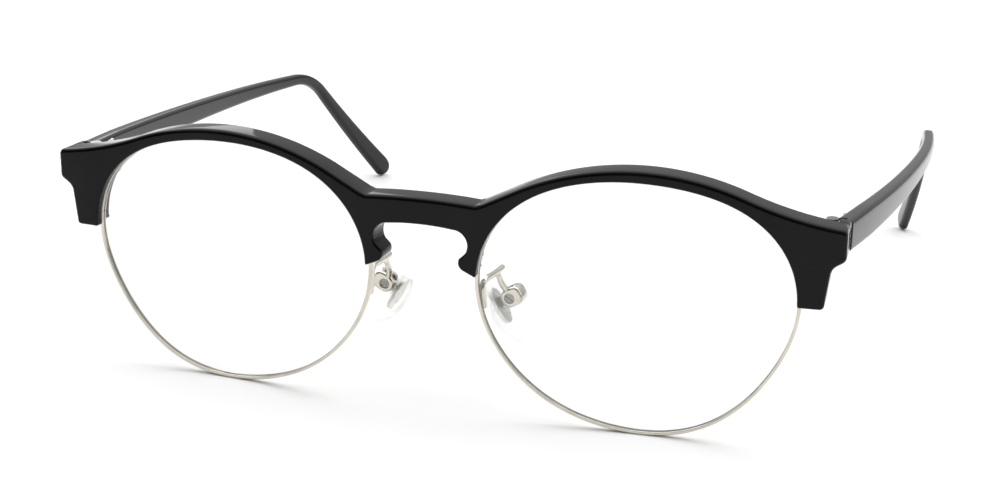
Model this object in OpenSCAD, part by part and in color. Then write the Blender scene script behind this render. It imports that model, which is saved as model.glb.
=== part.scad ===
// Browline spectacle frame: acetate brow and temples on wire rims.
// X runs across the front, Y from the front to the ear ends, Z up.
// Each half of the front is drawn in a wing frame: u runs from the lens
// towards the temple, z up, and depth runs back from the lens plane.

/* [Lenses and rims] */
// Distance between the two lens centres
lens_spacing = 72; // [71:0.5:74]
// Mean radius of the lens outline
lens_radius = 23.65; // [23.4:0.05:23.8]
// How much wider than tall the lens outline is
lens_oval = 2.36; // [2.2:0.02:2.5]
// How far the outline is flattened on top and drawn out below
lens_drop = 0.79; // [0.6:0.01:0.9]
// Angle by which each lens turns back towards the temple
wrap = 4.1; // [3:0.1:5]
// Radial thickness of the rim wire
rim_wall = 0.6; // [0.55:0.05:0.7]
// Front to back depth of the rim wire
rim_depth = 1.2; // [1.1:0.1:1.4]

/* [Brow] */
// Front to back thickness of the brow
brow_depth = 4.6; // [4.4:0.1:4.8]
// Height of the brow's arch over the lens centre line
brow_top = 22; // [21.8:0.1:22.4]
// Radius of the arch over each lens
arch_radius = 46.7; // [46:0.1:48]
// Height of the top of the bridge
bridge_top = 14.1; // [13.9:0.1:14.3]
// Height of the bridge's underside
bridge_under = 9.6; // [9.4:0.1:9.8]
// Height of the bottom of the four lobes
lobe_bottom = 1.8; // [1.6:0.1:2]

/* [Temples] */
// Length of the straight part of the temple
shaft_length = 91.5; // [88:0.5:94]
// Length of the drop behind the ear
drop_length = 32; // [30:0.5:32]
// Height of the temple at the hinge
temple_height = 5.2; // [5:0.1:5.3]
// Height of the temple where it starts to bend
neck_height = 2.35; // [2.2:0.05:2.5]
// Width of the temple at its tip
tip_width = 4.1; // [3.9:0.1:4.6]
// Thickness of the temple at the hinge
temple_thick = 3.2; // [3.1:0.1:3.3]
// Thickness of the temple at the tip
tip_thick = 1.9; // [1.8:0.1:2.2]

/* [Nose pads] */
// Length of a silicone pad
pad_length = 13.4; // [12:0.1:14]
// Width of a silicone pad
pad_width = 7.4; // [7:0.1:7.6]
// Thickness of a silicone pad at its crown
pad_thick = 2.9; // [2.6:0.1:3]
// Diameter of the pad arm wire
arm_wire = 1.1; // [1:0.05:1.2]

/* [Hidden] */

$fn = 48;
left = -1;
right = 1;
eps = 0.01;
far = 40;

// Where the drawing sits in the part's own frame
floor_drop = 23.2;
middle_back = 65.2;

// Lens outline, about its own centre
outline_steps = 120;
lens_u = 0.2;
lens_z = -0.7;
lens_shift = -0.2;
lens_skew = 0.06;
lens_cheek = -0.18;
lens_square = 0.16;
lens_corner = 0.17;

// Depths back from the lens plane
rim_front = 1.1;
rim_back = rim_front + rim_depth;
brow_front = -0.5;
brow_back = brow_front + brow_depth;
fit_gap = 0.05;
front_lip = 0.05;
lens_groove = 0.3;
groove_width = 0.6;

// Brow outline
arch_u = 0.7;
arch_end = 21.1;
sweep_radius = 61;
sweep_end = 6.6;
shoulder_u = -19;
end_u = 33.4;
end_corner = 1;
end_low = 10.7;
end_low_corner = 1.2;
side_blend = 2.2;
side_blend_centre = [33.2, 7.3];
side_lean = 7.7;
lobe_corner = 0.7;
lobe_corner_u = 29.65;
bulge_radius = 1.4;
bulge_centre = [-28, 4.1];
notch_radius = 2.5;
notch_centre = [-30.3, 7.1];
bridge_u = -26.6;
bridge_half = 9.6;
bridge_crown = 0.35;
bridge_front = -2.4;

// Closing joint of the rim, behind the brow's outer lobe
closing_z = 4.1;
closing_split = 0.2;
block_out = 2.2;
block_height = 1.5;
block_clearance = 0.1;
closing_screw_r = 0.45;
closing_head_r = 0.65;
closing_head = 0.5;

// Screw that holds each rim to the brow
lug_z = 4.6;
lug_size = 1.7;
brow_screw_r = 0.5;
brow_screw_head_r = 0.9;
brow_screw_head = 0.5;
brow_screw_depth = 3.4;

// Hinge
axis_x = 65.7;
axis_y = 8.6;
barrel_r = 1.15;
barrel_low = 10.6;
knuckle = 0.72;
knuckle_gap = 0.1;
hinge_pin_r = 0.6;
hinge_play = 0.05;
hinge_head_r = 1;
hinge_head = 0.45;
leaf_thick = 0.7;
leaf_arm = 2.3;
leaf_low = 11;
leaf_high = 14;
front_leaf_u = [24, 30.2];
front_rivet_u = [25.3, 27.9];
rivet_r = 0.55;
rivet_depth = 1.6;
block_inner_u = 31.6;
block_back = 5.95;

// Temple
temple_start = 8.65;
hinge_cut = 10.3;
hinge_cut_x = 67.1;
start_x = 68.95;
bow_x = 72.3;
bow_y = 65;
turn_in = 11.9;
turn_power = 2.4;
tip_y = 136;
shaft_slope = 3.9;
drop_slope = 46.7;
bend_radius = 16;
shaft_start_z = 12.2;
taper_start = 12;
bend_end_height = 2.2;
tip_round = 1.6;
tip_slant = 3.6;
bend_length = bend_radius * (drop_slope - shaft_slope) * PI / 180;
temple_length = shaft_length + bend_length + drop_length;
temple_leaf_low = 10.85;
temple_leaf_y = [10.2, 16];
temple_leaf_x = [66.3, 67.1];
temple_rivet_y = [12, 14.4];
core_half = 0.6;
core_start = 12;
core_end = 8;
core_thick = 1;

// Nose pad arm, box and pad, on the right-hand side
pad_axis = [11.43, -5.65];
box_front = 10.3;
box_depth = 3.1;
box_r = 1.65;
box_web = 2.3;
cheek = 0.95;
slot_room = 1.35;
boss_r = 1.2;
boss_thick = 1;
pad_pin_r = 0.5;
pad_head_r = 0.85;
pad_head = 0.55;
pad_recess = 0.2;
pad_slot = 0.3;
pad_rotation = [191.4, 60.1, 17.7];
pad_offset = 1.95;
pad_slide = 1.6;
insert_length = 6.8;
insert_slide = -0.9;
insert_width = 4.6;
insert_thick = 0.5;
pad_dome = 9.5;
arm_points = [
    [10.15, 0.93, -3.9], [9.9, 0.95, -1.6], [9.9, 1.3, -0.2], [10.05, 2.5, 0.35],
    [10.15, 5, 0.15], [10.15, 7.5, -0.1], [10.15, 8.6, -0.9], [10.2, 9.5, -2.3],
    [10.4, 10.2, -3.4], [10.75, 10.75, -4.25]
];

// ---- outlines and frames ----

function arc(centre, r, from, to, steps) = [
    for (i = [0:steps])
        let (a = from + (to - from) * i / steps)
            [centre[0] + r * cos(a), centre[1] + r * sin(a)]
];

function lens_r(a) = lens_radius + lens_shift * cos(a)
    + lens_oval * cos(2 * a) + lens_skew * sin(2 * a)
    + lens_cheek * cos(3 * a) + lens_drop * sin(3 * a)
    + lens_square * sin(4 * a) + lens_corner * sin(5 * a);

function lens_outline(grow) = [
    for (i = [0:outline_steps - 1])
        let (a = i * 360 / outline_steps, r = lens_r(a) + grow)
            [lens_u + r * cos(a), lens_z + r * sin(a)]
];

arch_centre = [arch_u, brow_top - arch_radius];
sweep_centre = arch_centre + (arch_radius + sweep_radius)
    * [sin(arch_end), cos(arch_end)];
shoulder_angle = asin((shoulder_u - arch_u) / arch_radius);

function brow_outline() = concat(
    [[bridge_u, bridge_top], [bridge_u + 1.2, bridge_top + 0.35]],
    arc(arch_centre, arch_radius, 90 - shoulder_angle, 90 - arch_end, 24),
    arc(sweep_centre, sweep_radius, 270 - arch_end, 270 - sweep_end, 10),
    arc([end_u - end_corner, brow_end_top - end_corner], end_corner, 83, 0, 6),
    arc([end_u - end_low_corner, end_low], end_low_corner, 0, -55, 5),
    arc(side_blend_centre, side_blend, 125, 180 - side_lean, 6),
    arc([lobe_corner_u, lobe_bottom + lobe_corner], lobe_corner, -side_lean, -90, 5),
    [[-26, lobe_bottom]],
    arc(bulge_centre, bulge_radius, 245, 150, 8),
    arc(notch_centre, notch_radius, -35, 43, 8)
);
brow_end_top = sweep_centre[1] - sweep_radius * cos(sweep_end);

module seated() translate([0, -middle_back, floor_drop]) children();

module on_side(side) mirror([side < 0 ? 1 : 0, 0, 0]) children();

module wing(side)
    on_side(side) translate([lens_spacing / 2, 0, 0]) rotate([0, 0, wrap]) children();

module slab(front, back)
    translate([0, back, 0]) rotate([90, 0, 0]) linear_extrude(back - front) children();

module lens_slab(front, back, grow) slab(front, back) polygon(lens_outline(grow));

module y_pin(x, z, front, back, r)
    translate([x, back, z]) rotate([90, 0, 0]) cylinder(h = back - front, r = r);

// ---- brow ----

module bridge_outline() {
    notch_x = lens_spacing / 2 + notch_centre[0] * cos(wrap);
    top = [for (i = [-8:8]) let (t = i / 8)
        [t * bridge_half, bridge_top + bridge_crown * (1 - t * t)]];
    under = [for (i = [8:-1:-8]) let (t = i / 8)
        [t * notch_x, bridge_under + bridge_crown * (1 - t * t)]];
    right_notch = arc([notch_x, notch_centre[1]], notch_radius, 37, 85, 6);
    left_notch = arc([-notch_x, notch_centre[1]], notch_radius, 95, 143, 6);
    polygon(concat(
        top, [[bridge_half, right_notch[0][1]]], right_notch,
        under, left_notch, [[-bridge_half, right_notch[0][1]]]
    ));
}

module brow_wing(side)
    wing(side) {
        slab(brow_front, brow_back) polygon(brow_outline());
        slab(brow_front, block_back) intersection() {
            polygon(brow_outline());
            translate([block_inner_u, end_low - 1]) square(10);
        }
    }

module rim_seat(side)
    wing(side) {
        lens_slab(brow_front - far, rim_front + eps, front_lip);
        lens_slab(rim_front - fit_gap, far, rim_wall + fit_gap);
    }

module block_pocket(side)
    wing(side)
        translate([lens_u + lens_r(8), rim_front - block_clearance,
                closing_z - block_height - closing_head - 0.3])
            cube([block_out + 1.2, brow_back - rim_front + 1,
                2 * block_height + closing_head + 0.7]);

module brow_bar()
    color("#141414") seated() difference() {
        union() {
            brow_wing(left);
            brow_wing(right);
            slab(bridge_front, bridge_front + brow_depth) bridge_outline();
        }
        for (side = [left, right]) {
            rim_seat(side);
            block_pocket(side);
            lug_cut(side);
            wing(side) front_rivet_pins(brow_back - rivet_depth);
        }
    }

// ---- rims and lenses ----

module rim(side)
    color("#c9c2b4") seated() wing(side) difference() {
        lens_slab(rim_front, rim_back, rim_wall);
        lens_slab(rim_front - 1, rim_back + 1, 0);
        lens_slab((rim_front + rim_back - groove_width) / 2,
            (rim_front + rim_back + groove_width) / 2, lens_groove);
        translate([20, 0, closing_z - closing_split / 2])
            cube([10, 5, closing_split]);
    }

module lens(side)
    color("#eef3f4", 0.3) seated() wing(side) {
        mid = (rim_front + rim_back) / 2;
        curve = 260;
        bulge = 2.4;
        thick = 1.5;
        lens_slab(mid - groove_width / 2 + fit_gap, mid + groove_width / 2 - fit_gap,
            lens_groove - fit_gap);
        intersection() {
            lens_slab(mid - 3, mid + 3, -fit_gap);
            difference() {
                translate([lens_u, mid - bulge + curve, lens_z]) lens_ball(curve);
                translate([lens_u, mid - bulge + curve, lens_z]) lens_ball(curve - thick);
            }
        }
    }

module lens_ball(r) rotate([90, 0, 0]) sphere(r = r, $fn = 128);

module closing_blocks(side)
    color("#b9b2a5") seated() wing(side) difference() {
        inner = lens_u + lens_r(8) + rim_wall - 0.2;
        for (low = [closing_z + closing_split / 2,
                closing_z - closing_split / 2 - block_height])
            translate([inner, rim_front, low])
                cube([block_out, rim_depth, block_height]);
        lens_slab(rim_front - 1, rim_back + 1, rim_wall);
        closing_shaft(0);
    }

module closing_shaft(head)
    translate([closing_u, (rim_front + rim_back) / 2, closing_z - block_height - 0.1]) {
        cylinder(h = 2 * block_height + 0.2, r = closing_screw_r);
        if (head > 0)
            translate([0, 0, -head]) cylinder(h = head, r = closing_head_r);
    }
closing_u = lens_u + lens_r(8) + rim_wall + 1.1;

module closing_screw(side)
    color("#9a958c") seated() wing(side) closing_shaft(closing_head);

// ---- lug and screw from the rim into the brow ----

module brow_lug(side)
    color("#b9b2a5") seated() wing(side) difference() {
        lug_body(0);
        lens_slab(rim_front - 1, rim_back + eps, rim_wall);
        screw_shaft();
    }
lug_u = -27.1;

module lug_body(grow)
    translate([lug_u - lug_size / 2 - grow, rim_back - 0.7 - grow,
            lug_z - lug_size / 2 - grow])
        cube([lug_size + 2 * grow, brow_back - rim_back + 0.7 + 2 * grow,
            lug_size + 2 * grow]);

module lug_cut(side)
    wing(side) {
        lug_body(fit_gap);
        screw_shaft();
    }

module screw_shaft()
    y_pin(lug_u, lug_z, brow_back - brow_screw_depth, brow_back + eps, brow_screw_r);

module brow_screw(side)
    color("#9a958c") seated() wing(side) {
        screw_shaft();
        y_pin(lug_u, lug_z, brow_back, brow_back + brow_screw_head, brow_screw_head_r);
    }

// ---- nose pads ----

// Points on a smooth curve through the arm's own points
function spline(p, i, t) =
    let (a = p[max(i - 1, 0)], b = p[i], c = p[i + 1], d = p[min(i + 2, len(p) - 1)])
        0.5 * (2 * b + (c - a) * t + (2 * a - 5 * b + 4 * c - d) * t * t
            + (3 * b - a - 3 * c + d) * t * t * t);

function unit(v) = v / norm(v);

module tube(points, r, sides, per_span) {
    spans = len(points) - 1;
    path = concat(
        [for (i = [0:spans - 1], k = [0:per_span - 1]) spline(points, i, k / per_span)],
        [points[spans]]
    );
    rings = len(path);
    verts = [for (i = [0:rings - 1])
        let (t = unit(path[min(i + 1, rings - 1)] - path[max(i - 1, 0)]),
            across = unit(cross(t, [0.96, -0.25, 0.1])),
            up = cross(across, t))
        for (k = [0:sides - 1])
            let (a = k * 360 / sides) path[i] + r * (cos(a) * across + sin(a) * up)];
    walls = [for (i = [0:rings - 2], k = [0:sides - 1])
        let (n = (k + 1) % sides)
            [i * sides + k, i * sides + n, (i + 1) * sides + n, (i + 1) * sides + k]];
    low_end = [for (k = [sides - 1:-1:0]) k];
    high_end = [for (k = [0:sides - 1]) (rings - 1) * sides + k];
    polyhedron(points = verts, faces = concat(walls, [low_end, high_end]), convexity = 6);
}

module pad_arm(side)
    color("#c9c2b4") seated() on_side(side) tube(arm_points, arm_wire / 2, 12, 4);

module pad_box(side)
    color("#c9c2b4") seated() on_side(side) difference() {
        towards_pad() slab(0, box_depth) {
            circle(box_r);
            translate([-box_web, 0.15 - box_r]) square([box_web, 2 * box_r - 0.3]);
        }
        towards_pad() translate([-slot_room, cheek, -5])
            cube([10, box_depth - 2 * cheek, 10]);
        pad_pin(1);
    }

// x towards the pad, y back along the screw
module towards_pad()
    translate([pad_axis[0], box_front, pad_axis[1]]) rotate([0, 150.7, 0]) children();

module pad_pin(past) {
    y_pin(pad_axis[0], pad_axis[1], box_front + pad_head - eps,
        box_front + box_depth + max(0, past), pad_pin_r);
    y_pin(pad_axis[0], pad_axis[1], box_front - past, box_front + pad_head, pad_head_r);
}

module pad_screw(side)
    color("#9a958c") seated() on_side(side) difference() {
        pad_pin(-pad_recess);
        translate([pad_axis[0], box_front, pad_axis[1]]) rotate([0, 30, 0])
            cube([2, 2 * (pad_recess + 0.15), pad_slot], center = true);
    }

module pad_frame()
    translate([pad_axis[0], box_front + box_depth / 2, pad_axis[1]])
        rotate(pad_rotation) translate([pad_slide, 0, pad_offset]) children();

function oval(length, width, power, steps) = [
    for (i = [0:steps - 1])
        let (a = i * 360 / steps, c = cos(a), s = sin(a))
            [sign(c) * pow(abs(c), 2 / power) * length / 2,
             sign(s) * pow(abs(s), 2 / power) * width / 2]
];

module pad_insert(side)
    color("#a8a39a") seated() on_side(side) {
        pad_frame() translate([insert_slide, 0, 0.5])
            linear_extrude(insert_thick) polygon(oval(insert_length, insert_width, 2.2, 40));
        difference() {
            union() {
                y_pin(pad_axis[0], pad_axis[1], boss_front, boss_front + boss_thick, boss_r);
                towards_pad() translate([0, boss_front - box_front, -0.9])
                    cube([pad_offset + 0.7, boss_thick, 1.8]);
            }
            y_pin(pad_axis[0], pad_axis[1], box_front, box_front + 4,
                pad_pin_r + hinge_play);
        }
    }
boss_front = box_front + (box_depth - boss_thick) / 2;

module nose_pad(side)
    color("#e6ebea", 0.6) seated() on_side(side) difference() {
        pad_frame() intersection() {
            linear_extrude(pad_thick) polygon(oval(pad_length, pad_width, 2.3, 48));
            translate([0, 0, pad_thick - pad_dome]) sphere(r = pad_dome, $fn = 96);
        }
        pad_frame() translate([insert_slide, 0, 0.5])
            linear_extrude(insert_thick) polygon(oval(insert_length, insert_width, 2.2, 40));
        towards_pad() translate([0, boss_front - box_front, -0.9])
            cube([pad_offset + 0.7, boss_thick, 1.8]);
    }

// ---- hinges ----

function knuckle_z(i) = barrel_low + i * (knuckle + knuckle_gap);

module barrel(i, pin_r)
    translate([0, 0, knuckle_z(i)]) difference() {
        cylinder(h = knuckle, r = barrel_r);
        translate([0, 0, -1]) cylinder(h = knuckle + 2, r = pin_r);
    }

module hinge_axis() translate([axis_x, axis_y, 0]) children();

module front_rivet_pins(front)
    for (u = front_rivet_u)
        y_pin(u, (leaf_low + leaf_high) / 2, front, brow_back + leaf_thick, rivet_r);

module hinge_front_leaf(side)
    color("#c9c2b4") seated() {
        wing(side) difference() {
            translate([front_leaf_u[0], brow_back, leaf_low])
                cube([front_leaf_u[1] - front_leaf_u[0], leaf_thick, leaf_high - leaf_low]);
            front_rivet_pins(0);
        }
        on_side(side) for (i = [0, 2, 4]) {
            hinge_axis() barrel(i, hinge_pin_r);
            difference() {
                translate([axis_x - barrel_r, axis_y - leaf_arm, knuckle_z(i)])
                    cube([1.4, leaf_arm, knuckle]);
                hinge_axis() cylinder(h = 20, r = barrel_r - 0.2);
            }
        }
    }

module hinge_front_rivets(side)
    color("#9a958c") seated() wing(side) {
        front_rivet_pins(brow_back - rivet_depth);
        for (u = front_rivet_u)
            y_pin(u, (leaf_low + leaf_high) / 2, brow_back + leaf_thick,
                brow_back + leaf_thick + 0.25, rivet_r + 0.3);
    }

module hinge_screw(side)
    color("#9a958c") seated() on_side(side) hinge_axis() {
        translate([0, 0, barrel_low]) cylinder(h = 5 * knuckle + 4 * knuckle_gap, r = hinge_pin_r);
        translate([0, 0, knuckle_z(5) - knuckle_gap]) cylinder(h = hinge_head, r = hinge_head_r);
    }

module temple_rivet_pins(grow)
    for (y = temple_rivet_y)
        translate([temple_leaf_x[0], y, (leaf_low + leaf_high) / 2 - 0.5])
            rotate([0, 90, 0]) cylinder(h = 2.2, r = rivet_r + grow);

module hinge_temple_leaf(side)
    color("#c9c2b4") seated() on_side(side) difference() {
        union() {
            translate([temple_leaf_x[0], temple_leaf_y[0], temple_leaf_low])
                cube([temple_leaf_x[1] - temple_leaf_x[0],
                    temple_leaf_y[1] - temple_leaf_y[0], leaf_high - leaf_low]);
            for (i = [1, 3]) {
                translate([axis_x, axis_y, knuckle_z(i)]) cylinder(h = knuckle, r = barrel_r);
                translate([axis_x, axis_y, knuckle_z(i)])
                    cube([temple_leaf_x[0] - axis_x + 0.5, 2, knuckle]);
            }
        }
        hinge_axis() cylinder(h = 20, r = hinge_pin_r + hinge_play);
        temple_rivet_pins(0);
    }

module hinge_temple_rivets(side)
    color("#9a958c") seated() on_side(side) temple_rivet_pins(0);

// ---- temples ----

// Outer face of the temple, seen from above
function temple_x(y) = y < bow_y
    ? bow_x - (bow_x - start_x) * pow((bow_y - y) / (bow_y - temple_start), 2)
    : bow_x - turn_in * pow((y - bow_y) / (tip_y - bow_y), turn_power);

function temple_wall(y) = temple_thick
    + (tip_thick - temple_thick) * (y - temple_start) / (tip_y - temple_start);

// Centre line of the temple seen from the side, at a length along it
function centre_line(s) =
    s < shaft_length
    ? [temple_start + s * cos(shaft_slope), shaft_start_z - s * sin(shaft_slope)]
    : s < shaft_length + bend_length
    ? let (a = shaft_slope + (s - shaft_length) / bend_radius * 180 / PI)
        shaft_end + bend_radius * [sin(a) - sin(shaft_slope), cos(a) - cos(shaft_slope)]
    : bend_end + (s - shaft_length - bend_length) * [cos(drop_slope), -sin(drop_slope)];
shaft_end = [temple_start + shaft_length * cos(shaft_slope),
    shaft_start_z - shaft_length * sin(shaft_slope)];
bend_end = shaft_end + bend_radius * [sin(drop_slope) - sin(shaft_slope),
    cos(drop_slope) - cos(shaft_slope)];

function heading(s) = s < shaft_length ? shaft_slope
    : s < shaft_length + bend_length
    ? shaft_slope + (s - shaft_length) / bend_radius * 180 / PI
    : drop_slope;

function blend(a, b, t) = a + (b - a) * (3 * t * t - 2 * t * t * t);

function temple_half(s) =
    s < taper_start ? temple_height / 2
    : s < shaft_length
    ? (temple_height + (neck_height - temple_height)
        * (s - taper_start) / (shaft_length - taper_start)) / 2
    : s < shaft_length + bend_length
    ? blend(neck_height, bend_end_height, (s - shaft_length) / bend_length) / 2
    : (bend_end_height + (tip_width - bend_end_height)
        * (s - shaft_length - bend_length) / drop_length) / 2;

// How much of the half height is left near the end, for a rounding that long
function tip_cap(s, long) = s < temple_length - long ? 1
    : sqrt(max(0, 1 - pow((s - temple_length + long) / long, 2.6)));

function edge_point(s, half) = centre_line(s) + half * [sin(heading(s)), cos(heading(s))];

temple_stations = concat(
    [for (i = [0:11]) i * shaft_length / 12],
    [for (i = [0:9]) shaft_length + i * bend_length / 10],
    [for (i = [0:7]) shaft_length + bend_length + i * (drop_length - tip_slant) / 8],
    [for (i = [0:14]) temple_length - tip_slant * cos(i * 90 / 14)]
);

module side_profile(stations, uppers, lowers)
    polygon(concat(
        [for (i = [0:len(stations) - 1]) edge_point(stations[i], uppers[i])],
        [for (i = [len(stations) - 1:-1:0]) edge_point(stations[i], -lowers[i])]
    ));

module plan_profile(inset, thick) {
    steps = 40;
    ys = [for (i = [0:steps]) temple_start + (tip_y + 2 - temple_start) * i / steps];
    outer = [for (y = ys) [temple_x(y) - inset, y]];
    inner = [for (i = [steps:-1:0]) [temple_x(ys[i]) - inset - thick(ys[i]), ys[i]]];
    polygon(concat(outer, inner));
}

// Shape left where a side view and a plan view cross
module crossed() intersection() {
    translate([50, 0, 0]) rotate([90, 0, 90]) linear_extrude(30) children(0);
    translate([0, 0, -floor_drop - 5]) linear_extrude(60) children(1);
}

module core_shape() crossed() {
    stations = [for (i = [0:40])
        core_start + (temple_length - core_end - core_start) * i / 40];
    halves = [for (s = stations) core_half];
    side_profile(stations, halves, halves);
    plan_profile((tip_thick - core_thick) / 2 + 0.1, function (y) core_thick);
}

module temple(side)
    color("#161616") seated() on_side(side) difference() {
        crossed() {
            side_profile(temple_stations,
                [for (s = temple_stations) temple_half(s) * tip_cap(s, tip_slant)],
                [for (s = temple_stations) temple_half(s) * tip_cap(s, tip_round)]);
            plan_profile(0, function (y) temple_wall(y));
        }
        core_shape();
        translate([hinge_cut_x - 5, temple_start - 1, 0]) cube([5, hinge_cut - temple_start + 1, 20]);
        translate([temple_leaf_x[0] - 2, temple_leaf_y[0], temple_leaf_low])
            cube([temple_leaf_x[1] - temple_leaf_x[0] + 2,
                temple_leaf_y[1] - temple_leaf_y[0], leaf_high - leaf_low]);
        temple_rivet_pins(0);
    }

module core_wire(side) color("#b5b0a6") seated() on_side(side) core_shape();

brow_bar();
rim(left);  // rim_left
rim(right);  // rim_right
closing_blocks(left);  // closing_blocks_left
closing_blocks(right);  // closing_blocks_right
closing_screw(left);  // closing_screw_left
closing_screw(right);  // closing_screw_right
brow_lug(left);  // brow_lug_left
brow_lug(right);  // brow_lug_right
brow_screw(left);  // brow_screw_left
brow_screw(right);  // brow_screw_right
lens(left);  // lens_left
lens(right);  // lens_right
pad_arm(left);  // pad_arm_left
pad_arm(right);  // pad_arm_right
pad_box(left);  // pad_box_left
pad_box(right);  // pad_box_right
pad_screw(left);  // pad_screw_left
pad_screw(right);  // pad_screw_right
pad_insert(left);  // pad_insert_left
pad_insert(right);  // pad_insert_right
nose_pad(left);  // nose_pad_left
nose_pad(right);  // nose_pad_right
hinge_front_leaf(left);  // hinge_front_leaf_left
hinge_front_leaf(right);  // hinge_front_leaf_right
hinge_front_rivets(left);  // hinge_front_rivets_left
hinge_front_rivets(right);  // hinge_front_rivets_right
hinge_screw(left);  // hinge_screw_left
hinge_screw(right);  // hinge_screw_right
hinge_temple_leaf(left);  // hinge_temple_leaf_left
hinge_temple_leaf(right);  // hinge_temple_leaf_right
hinge_temple_rivets(left);  // hinge_temple_rivets_left
hinge_temple_rivets(right);  // hinge_temple_rivets_right
temple(left);  // temple_left
temple(right);  // temple_right
core_wire(left);  // core_wire_left
core_wire(right);  // core_wire_right
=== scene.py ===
"""Browline eyeglasses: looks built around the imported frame, for Blender 4.5."""
import bpy
import bmesh
import math
from mathutils import Matrix, Vector
from mathutils.geometry import delaunay_2d_cdt


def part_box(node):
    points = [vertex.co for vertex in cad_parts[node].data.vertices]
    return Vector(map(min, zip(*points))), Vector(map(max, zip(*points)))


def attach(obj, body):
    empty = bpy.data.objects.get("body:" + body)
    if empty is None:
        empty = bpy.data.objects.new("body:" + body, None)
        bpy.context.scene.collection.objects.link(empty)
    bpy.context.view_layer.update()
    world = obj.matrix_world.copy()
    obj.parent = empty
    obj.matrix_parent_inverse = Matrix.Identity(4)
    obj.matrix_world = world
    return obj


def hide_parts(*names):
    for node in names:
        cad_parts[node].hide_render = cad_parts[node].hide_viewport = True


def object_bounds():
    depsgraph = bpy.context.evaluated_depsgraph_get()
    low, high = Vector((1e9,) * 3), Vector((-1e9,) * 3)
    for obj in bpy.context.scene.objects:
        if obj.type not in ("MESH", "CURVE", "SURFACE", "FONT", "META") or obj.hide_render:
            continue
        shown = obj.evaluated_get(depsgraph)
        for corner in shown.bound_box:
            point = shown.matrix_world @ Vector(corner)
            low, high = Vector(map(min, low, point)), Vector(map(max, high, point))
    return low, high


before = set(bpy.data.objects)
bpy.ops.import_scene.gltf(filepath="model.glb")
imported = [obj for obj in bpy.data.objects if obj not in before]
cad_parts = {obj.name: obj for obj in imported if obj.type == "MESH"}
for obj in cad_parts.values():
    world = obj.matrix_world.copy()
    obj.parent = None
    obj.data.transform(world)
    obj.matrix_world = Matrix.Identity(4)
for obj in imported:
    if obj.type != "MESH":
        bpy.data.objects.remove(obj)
cad_low, cad_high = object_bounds()

MM = 0.001
SIDES = {"left": -1, "right": 1}

# ---- the part's own dimensions, in millimetres ----
# Drawing frame: x = 0 is the middle of the bridge, z = 0 near the lens centres,
# y runs back. SHIFT_Y and SHIFT_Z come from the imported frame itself.
BRIDGE_FRONT, BROW_TOP = -2.6, 22.0
BROW_LOW, BROW_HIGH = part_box("brow_bar")
SHIFT_Z = BROW_HIGH.z / MM - BROW_TOP
SHIFT_Y = BROW_LOW.y / MM - BRIDGE_FRONT

HALF_GAP = 36.0                     # lens centre to the symmetry plane
WRAP = math.radians(4.1)
LENS_U, LENS_Z = 0.2, -0.7
RIM_FRONT, RIM_DEPTH, RIM_WALL = 1.1, 1.2, 0.6
BROW_FRONT, BROW_BACK, BLOCK_BACK = -0.5, 4.1, 5.95
FRONT_LIP, REAR_LIP = 0.05, 0.65


def lens_radius(a):
    """Radius of the lens outline at angle a, measured from the temple side."""
    return (23.65 - 0.2 * math.cos(a)
            + 2.36 * math.cos(2 * a) + 0.06 * math.sin(2 * a)
            - 0.18 * math.cos(3 * a) + 0.79 * math.sin(3 * a)
            + 0.16 * math.sin(4 * a) + 0.17 * math.sin(5 * a))


def row(x, y, z):
    return Vector((x, y + SHIFT_Y, z + SHIFT_Z)) * MM


def wing(u, depth, z):
    """A point given in the right wing's own plane."""
    return row(HALF_GAP + u * math.cos(WRAP) - depth * math.sin(WRAP),
               u * math.sin(WRAP) + depth * math.cos(WRAP), z)


# ---- mesh helpers ----

def arc(centre, r, start, end, steps):
    return [(centre[0] + r * math.cos(math.radians(start + (end - start) * i / steps)),
             centre[1] + r * math.sin(math.radians(start + (end - start) * i / steps)))
            for i in range(steps + 1)]


def make_object(name, bm, material, body, stands_for=(), smooth=35):
    bmesh.ops.recalc_face_normals(bm, faces=bm.faces)
    mesh = bpy.data.meshes.new(name)
    bm.to_mesh(mesh)
    bm.free()
    obj = bpy.data.objects.new(name, mesh)
    bpy.context.scene.collection.objects.link(obj)
    mesh.materials.append(material)
    for p in mesh.polygons:
        p.use_smooth = True
    for e in mesh.edges:
        e.use_edge_sharp = False
    mesh.set_sharp_from_angle(angle=math.radians(smooth))
    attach(obj, body)
    if stands_for:
        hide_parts(*stands_for)


def mirrored(bm):
    """The same mesh on the other side of the symmetry plane."""
    other = bm.copy()
    for v in other.verts:
        v.co.x = -v.co.x
    bmesh.ops.reverse_faces(other, faces=other.faces)
    return other


def on_both_sides(name, bm, material, body, stands_for, smooth=35):
    """Makes the right piece from bm and the left one as its mirror image."""
    for side, sign in SIDES.items():
        make_object(f"{name}_{side}", bm.copy() if sign > 0 else mirrored(bm),
                    material, body.format(side),
                    [n.format(side) for n in stands_for], smooth)
    bm.free()


def loft(bm, rings, closed_path=False, caps=True):
    """Joins rings of points into a skin. Each ring is a closed loop."""
    loops = [[bm.verts.new(p) for p in ring] for ring in rings]
    n = len(loops[0])
    pairs = list(zip(loops, loops[1:]))
    if closed_path:
        pairs.append((loops[-1], loops[0]))
    for a, b in pairs:
        for k in range(n):
            m = (k + 1) % n
            bm.faces.new((a[k], a[m], b[m], b[k]))
    if caps and not closed_path:
        bm.faces.new(list(reversed(loops[0])))
        bm.faces.new(loops[-1])
    return loops


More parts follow.
